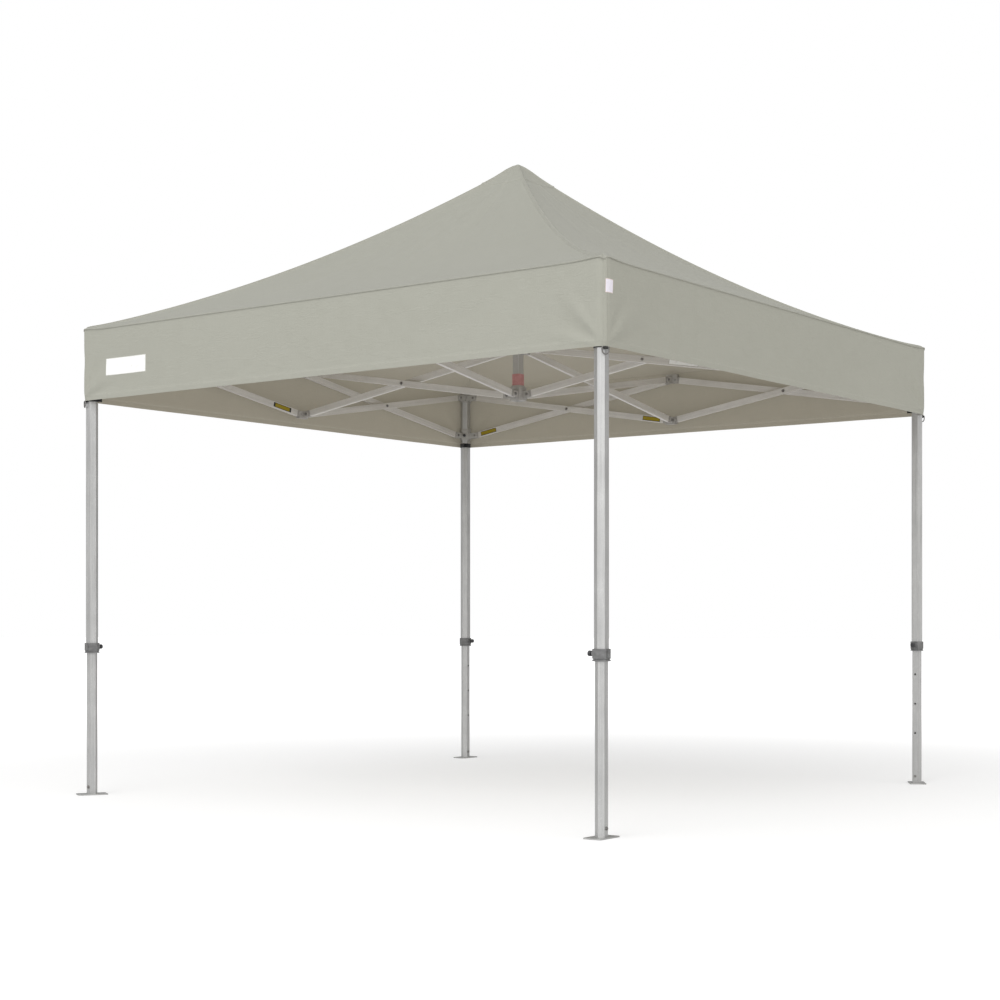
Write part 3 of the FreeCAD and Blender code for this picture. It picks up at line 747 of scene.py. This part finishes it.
def valance_piece(turn, side):
    """The straight fall of cloth below the eave, with its hem and corner binding."""
    seam = np.array([0.0, 0.002, 0.006, 0.012, 0.017, CORNER_STRIP, CORNER_STRIP + 0.0012,
                     0.030, 0.036, 0.042, 0.049, 0.057, 0.067])
    middle = np.linspace(-EAVE + 0.078, EAVE - 0.078, VALANCE_COLUMNS)
    along = np.concatenate([seam - EAVE, middle, (EAVE - seam)[::-1]])
    band_top = HEM_Z + HEM_BAND
    down = np.concatenate([[EAVE_Z - 0.0040, EAVE_Z - 0.009, EAVE_Z - 0.015],
                           np.linspace(EAVE_Z - 0.022, band_top + 0.012, 38),
                           [band_top + 0.0012, band_top, band_top - 0.006, band_top - 0.013,
                            HEM_Z + 0.006, HEM_Z + 0.002, HEM_Z]])
    tangential, z = np.meshgrid(along, down)
    points = valance_surface(turn, tangential, z)
    cut = np.stack([tangential, z - HEM_Z], axis=-1)
    measures = {"hem": z - HEM_Z, "strip": EAVE + tangential}
    piece = grid_mesh("valance_" + side, points, cut, measures, [valance_outside, valance_inside])
    return thicken(piece, CLOTH, turned(turn, 1.0, 0.0, 0.0).tolist())


def folds_with_side(piece, turn, body):
    """Rides on a body of the side, with a mesh of its own."""
    axis = turned(turn, 0.0, 1.0, 0.0).tolist()
    anchor = turned(turn, EAVE, 0.0, EAVE_Z).tolist()
    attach(piece, body)
    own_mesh(piece)


def patch_piece(name, turn, middle, low, high, half, finish):
    """A small rectangle sewn flat on the valance."""
    tangential, z = np.meshgrid(np.linspace(middle - half, middle + half, 25),
                                np.linspace(high, low, 9))
    points = valance_surface(turn, tangential, z, PATCH_STAND)
    cut = np.stack([tangential - middle, z - (low + high) / 2], axis=-1)
    piece = grid_mesh(name, points, cut, {}, [finish])
    return thicken(piece, 0.0006, turned(turn, 1.0, 0.0, 0.0).tolist())


patch_print = plain_print("sewn patch, white", shade(240, 240, 238), shade(226, 226, 222),
                          0.134, 0.0395)
patch = patch_piece("blank_patch", 2, -1.181, 1.990, 2.069, 0.134, patch_print)
tag_print = plain_print("care tag, white", shade(226, 222, 232), shade(214, 200, 196),
                        0.026, 0.025)
tag = patch_piece("care_tag", 3, -1.463, 2.087, 2.137, 0.026, tag_print)
on_valance = {"west": [patch], "south": [tag]}

for turn, side in enumerate(SIDES):
    node, bracket = "canopy_panel_" + side, "eave_bracket_" + side
    roof, slope, area = roof_piece(turn, side)
    valance = valance_piece(turn, side)
    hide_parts(node)
    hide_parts(node)
    folds_with_side(roof, turn, node)
    folds_with_side(valance, turn, bracket)
    for sewn_on in on_valance.get(side, []):
        folds_with_side(sewn_on, turn, bracket)


# ---- corner straps and rings ----

def edit(piece):
    only(piece)
    bpy.ops.object.mode_set(mode="EDIT")
    bpy.ops.mesh.select_all(action="DESELECT")


def leave_edit():
    bpy.ops.object.mode_set(mode="OBJECT")


def pick(piece, kind, test):
    """Selects the vertices, edges or faces whose middle passes a test, in edit mode."""
    work = bmesh.from_edit_mesh(piece.data)
    bpy.ops.mesh.select_all(action="DESELECT")
    bpy.context.tool_settings.mesh_select_mode = (kind == "verts", kind == "edges", kind == "faces")
    for item in getattr(work, kind):
        corners = [item] if kind == "verts" else item.verts
        middle = sum((v.co for v in corners), Vector()) / len(corners)
        if test(middle):
            item.select_set(True)
    work.select_flush_mode()
    bmesh.update_edit_mesh(piece.data)


def extrude(*moves):
    """Extrudes what is selected, once for every move."""
    for move in moves:
        bpy.ops.mesh.extrude_region_move(TRANSFORM_OT_translate={"value": move})


def settle(piece, matrix=None):
    """Puts the piece's place into its mesh, so that the object is at the origin."""
    only(piece)
    if matrix is not None:
        piece.matrix_world = matrix @ piece.matrix_world
    bpy.ops.object.transform_apply(location=True, rotation=True, scale=True)
    return piece


def apply_modifier(piece, kind, **settings):
    only(piece)
    modifier = piece.modifiers.new(kind.lower(), kind)
    for name, value in settings.items():
        setattr(modifier, name, value)
    bpy.ops.object.modifier_apply(modifier=modifier.name)


STRAP_Z = (1.879, 1.903)
STRAP_THICKNESS = 0.0022
RING_WIRE = 0.0026
RING_RADIUS = 0.0145


def beside_leg(away, z):
    """A place beside the north-east leg, towards the corner that its cloth is rounded off at."""
    outwards = Vector((math.cos(math.pi / 3), math.sin(math.pi / 3), 0))
    spot = Vector((LEG_LINE, LEG_LINE, z)) + away * outwards
    return Matrix.Translation(spot) @ Matrix.Rotation(-math.pi / 6, 4, "Z")


def strap_model():
    """Hook-and-loop strap round the north-east leg, its end standing off towards the inside."""
    bpy.ops.object.select_all(action="DESELECT")
    radius = (LEG_FLATS / 2 + 0.0006) / math.cos(math.radians(30))
    bpy.ops.mesh.primitive_cylinder_add(vertices=6, radius=radius, depth=STRAP_Z[1] - STRAP_Z[0],
                                        end_fill_type="NOTHING", rotation=(0, 0, math.pi / 2))
    strap = bpy.context.object
    settle(strap)
    edit(strap)
    pick(strap, "edges", lambda m: m.x < -radius * 0.95)
    extrude((-0.010, -0.011, 0.0), (-0.004, -0.013, -0.002))
    bpy.ops.mesh.select_all(action="SELECT")
    bpy.ops.mesh.subdivide(number_cuts=2)
    leave_edit()
    apply_modifier(strap, "SOLIDIFY", thickness=STRAP_THICKNESS, offset=1.0)
    apply_modifier(strap, "BEVEL", width=0.0007, segments=2, limit_method="ANGLE")
    bpy.ops.object.shade_smooth_by_angle(angle=math.radians(40))
    strap.location = (LEG_LINE, LEG_LINE, sum(STRAP_Z) / 2)
    return settle(strap)


def ring_model():
    """The wire ring below the hem, with its straight side at the top."""
    bpy.ops.object.select_all(action="DESELECT")
    bpy.ops.mesh.primitive_torus_add(major_segments=40, minor_segments=12, major_radius=RING_RADIUS,
                                     minor_radius=RING_WIRE, rotation=(math.pi / 2, 0, 0))
    ring = bpy.context.object
    settle(ring)
    edit(ring)
    pick(ring, "verts", lambda m: m.z > 0.0025)
    bpy.ops.transform.resize(value=(1.10, 1.0, 1.0))
    pick(ring, "verts", lambda m: m.z > 0.0075)
    bpy.ops.transform.resize(value=(1.0, 1.0, 0.42))
    pick(ring, "verts", lambda m: m.z < -0.002)
    bpy.ops.transform.translate(value=(0.0, 0.0, -0.003))
    leave_edit()
    apply_modifier(ring, "SUBSURF", levels=1, render_levels=1)
    bpy.ops.object.shade_smooth()
    return settle(ring, beside_leg(0.0345, 1.8690))


def tab_model():
    """The loop of webbing that holds the ring, sewn inside the corner."""
    bpy.ops.object.select_all(action="DESELECT")
    bpy.ops.mesh.primitive_plane_add(size=1.0, rotation=(math.pi / 2, 0, 0))
    tab = bpy.context.object
    tab.scale = (0.020, 0.008, 1.0)
    settle(tab)
    edit(tab)
    pick(tab, "edges", lambda m: m.z < -0.003)
    extrude((0.0, 0.0015, -0.0034), (0.0, 0.0028, 0.0), (0.0, 0.0012, 0.0034), (0.0, -0.0020, 0.0075))
    leave_edit()
    apply_modifier(tab, "SOLIDIFY", thickness=0.0011, offset=0.0)
    apply_modifier(tab, "BEVEL", width=0.0003, segments=2, limit_method="ANGLE")
    bpy.ops.object.shade_smooth_by_angle(angle=math.radians(40))
    return settle(tab, beside_leg(0.0318, 1.8788))


def copies(model, name, finish, **lifted):
    """The model and its three copies, a quarter turn apart, each riding on its corner's leg.
    lifted gives the corners whose copy sits higher, and by how much."""
    for turn, corner in enumerate(CORNERS):
        piece = model if turn == 3 else bpy.data.objects.new(name, model.data.copy())
        if turn < 3:
            bpy.context.scene.collection.objects.link(piece)
        piece.name = f"{name}_{corner}"
        piece.data.materials.clear()
        piece.data.materials.append(finish)
        raised = Matrix.Translation((0.0, 0.0, lifted.get(corner, 0.0)))
        piece.data.transform(raised @ Matrix.Rotation(turn * math.pi / 2, 4, "Z"))
        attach(piece, "outer_leg_" + corner)


copies(strap_model(), "corner_strap", strap_tape, south_east=0.016)
copies(ring_model(), "corner_ring", ring_steel)
copies(tab_model(), "ring_tab", tab_tape)


# ---- plain labels on the truss bars ----

def label_piece(name, node, start, length, height, face_normal, finish):
    """A thin label on a bar's flat, its start measured along the bar from its lower end."""
    body, middle, axis = bar_frame(node)
    axis = axis * (1 if axis[2] > 0 else -1)
    normal = np.array(face_normal, float)
    half = ((body - middle) @ axis).max()
    stand = ((body - middle) @ normal).max() + 0.0001
    up = np.cross(normal, axis)
    along = np.linspace(-length / 2, length / 2, 13)
    across = np.linspace(-height / 2, height / 2, 5)
    first, second = np.meshgrid(along, across)
    centre = middle + axis * (start + length / 2 - half) + normal * (stand + 0.0003)
    points = centre + first[..., None] * axis + second[..., None] * up
    piece = grid_mesh(name, points, np.stack([first, second], axis=-1), {}, [finish])
    thicken(piece, 0.0003, face_normal)
    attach(piece, node)


yellow = plain_print("label, plain yellow", shade(158, 138, 16), shade(40, 38, 34), 0.0575, 0.012)
white = plain_print("label, plain white", shade(252, 252, 250), shade(190, 186, 180), 0.080, 0.0125)
for name, node, start, length, height, face_normal, finish in (
        ("north", "side_bar_rising_north_to_north_west", 0.092, 0.135, 0.024, (0, -1, 0), yellow),
        ("east", "side_bar_rising_east_to_north_east", 0.062, 0.115, 0.024, (-1, 0, 0), yellow),
        ("corner", "side_bar_falling_east_to_north_east", 0.062, 0.115, 0.024, (-1, 0, 0), yellow),
        ("south", "radial_bar_falling_south", 0.400, 0.160, 0.025, (-1, 0, 0), white)):
    label_piece("bar_label_" + name, node, start, length, height, face_normal, finish)


# ---- floor, light and camera ----

bpy.ops.object.select_all(action="DESELECT")
bpy.ops.mesh.primitive_plane_add(size=120.0, location=(0, 0, cad_low[2] - 0.0005))
floor = bpy.context.object
floor.name = "studio_floor"
floor_finish = Finish("studio floor", Roughness=0.9, Specular_IOR_Level=0.1,
                      Base_Color=grey(0.60), Emission_Strength=1.0)
# The floor glows. To the camera it is darker near the shelter and paler far off, a painted shadow
# round the shelter; to every other ray it is a dim even grey.
from_middle = floor_finish.vector("LENGTH", floor_finish.place(), (0.0, 0.0, 0.0), "Value")
floor_glow_painted_shade = floor_finish.mix(grey(0.43), grey(0.85), from_middle.step(2.5, 9.0))
seen = floor_finish.node("ShaderNodeLightPath", {}, {}, "Is Camera Ray")
floor_finish.set("Emission Color", floor_finish.mix(grey(0.17), floor_glow_painted_shade, seen))
floor.data.materials.append(floor_finish.material)

BRIGHT_SIDE = Vector((-0.88, -0.38, 0.28)).normalized()
ROOM_LIGHT = (0.44, 1.42)              # from the dark half of the room to its bright side


def studio_world():
    """A pale room, brighter on one side; the camera itself sees plain white behind the shelter."""
    world = bpy.data.worlds.new("studio")
    bpy.context.scene.world = world
    world.use_nodes = True
    tree = world.node_tree
    room, backdrop = tree.nodes["Background"], tree.nodes.new("ShaderNodeBackground")
    room.inputs["Color"].default_value = backdrop.inputs["Color"].default_value = grey(1.0)
    look = tree.nodes.new("ShaderNodeTexCoord")
    facing = tree.nodes.new("ShaderNodeVectorMath")
    facing.operation = "DOT_PRODUCT"
    facing.inputs[1].default_value = BRIGHT_SIDE
    strength = tree.nodes.new("ShaderNodeMapRange")
    strength.interpolation_type = "SMOOTHSTEP"
    strength.inputs["To Min"].default_value, strength.inputs["To Max"].default_value = ROOM_LIGHT
    seen = tree.nodes.new("ShaderNodeLightPath")
    choice = tree.nodes.new("ShaderNodeMixShader")
    tree.links.new(look.outputs["Generated"], facing.inputs[0])
    tree.links.new(facing.outputs["Value"], strength.inputs["Value"])
    tree.links.new(strength.outputs["Result"], room.inputs["Strength"])
    tree.links.new(seen.outputs["Is Camera Ray"], choice.inputs[0])
    tree.links.new(room.outputs[0], choice.inputs[1])
    tree.links.new(backdrop.outputs[0], choice.inputs[2])
    tree.links.new(choice.outputs[0], tree.nodes["World Output"].inputs["Surface"])


def softbox(name, place, size, power, aim=(0.0, 0.0, 1.4), glossy=True, tint=(1.0, 1.0, 1.0)):
    light = bpy.data.lights.new(name, "AREA")
    light.color = tint
    light.shape = "SQUARE"
    light.size = size
    light.energy = power
    lamp = bpy.data.objects.new(name, light)
    lamp.location = place
    lamp.rotation_euler = (Vector(aim) - Vector(place)).to_track_quat("-Z", "Y").to_euler()
    lamp.visible_camera = False
    lamp.visible_glossy = glossy
    bpy.context.scene.collection.objects.link(lamp)


studio_world()
softbox("key", (-9.0, -1.5, 8.5), 6.0, 340.0)
softbox("top", (-2.0, 1.5, 11.0), 8.0, 120.0, glossy=False)
softbox("side fill", (1.5, -11.0, 3.0), 6.0, 205.0, glossy=False, tint=(1.0, 0.96, 0.89))

CAMERA_PLACE = (-7.3215, -5.3375, 0.8394)
CAMERA_HEADING = math.radians(-53.34)
camera_data = bpy.data.cameras.new("camera")
camera = bpy.data.objects.new("camera", camera_data)
bpy.context.scene.collection.objects.link(camera)
camera.location = CAMERA_PLACE
camera.rotation_euler = (math.pi / 2, 0.0, CAMERA_HEADING)
camera_data.lens = 65.87
camera_data.sensor_width = 36.0
camera_data.shift_y = 0.1192
camera_data.clip_end = 200.0
bpy.context.scene.camera = camera
bpy.context.scene.view_settings.view_transform = "Standard"
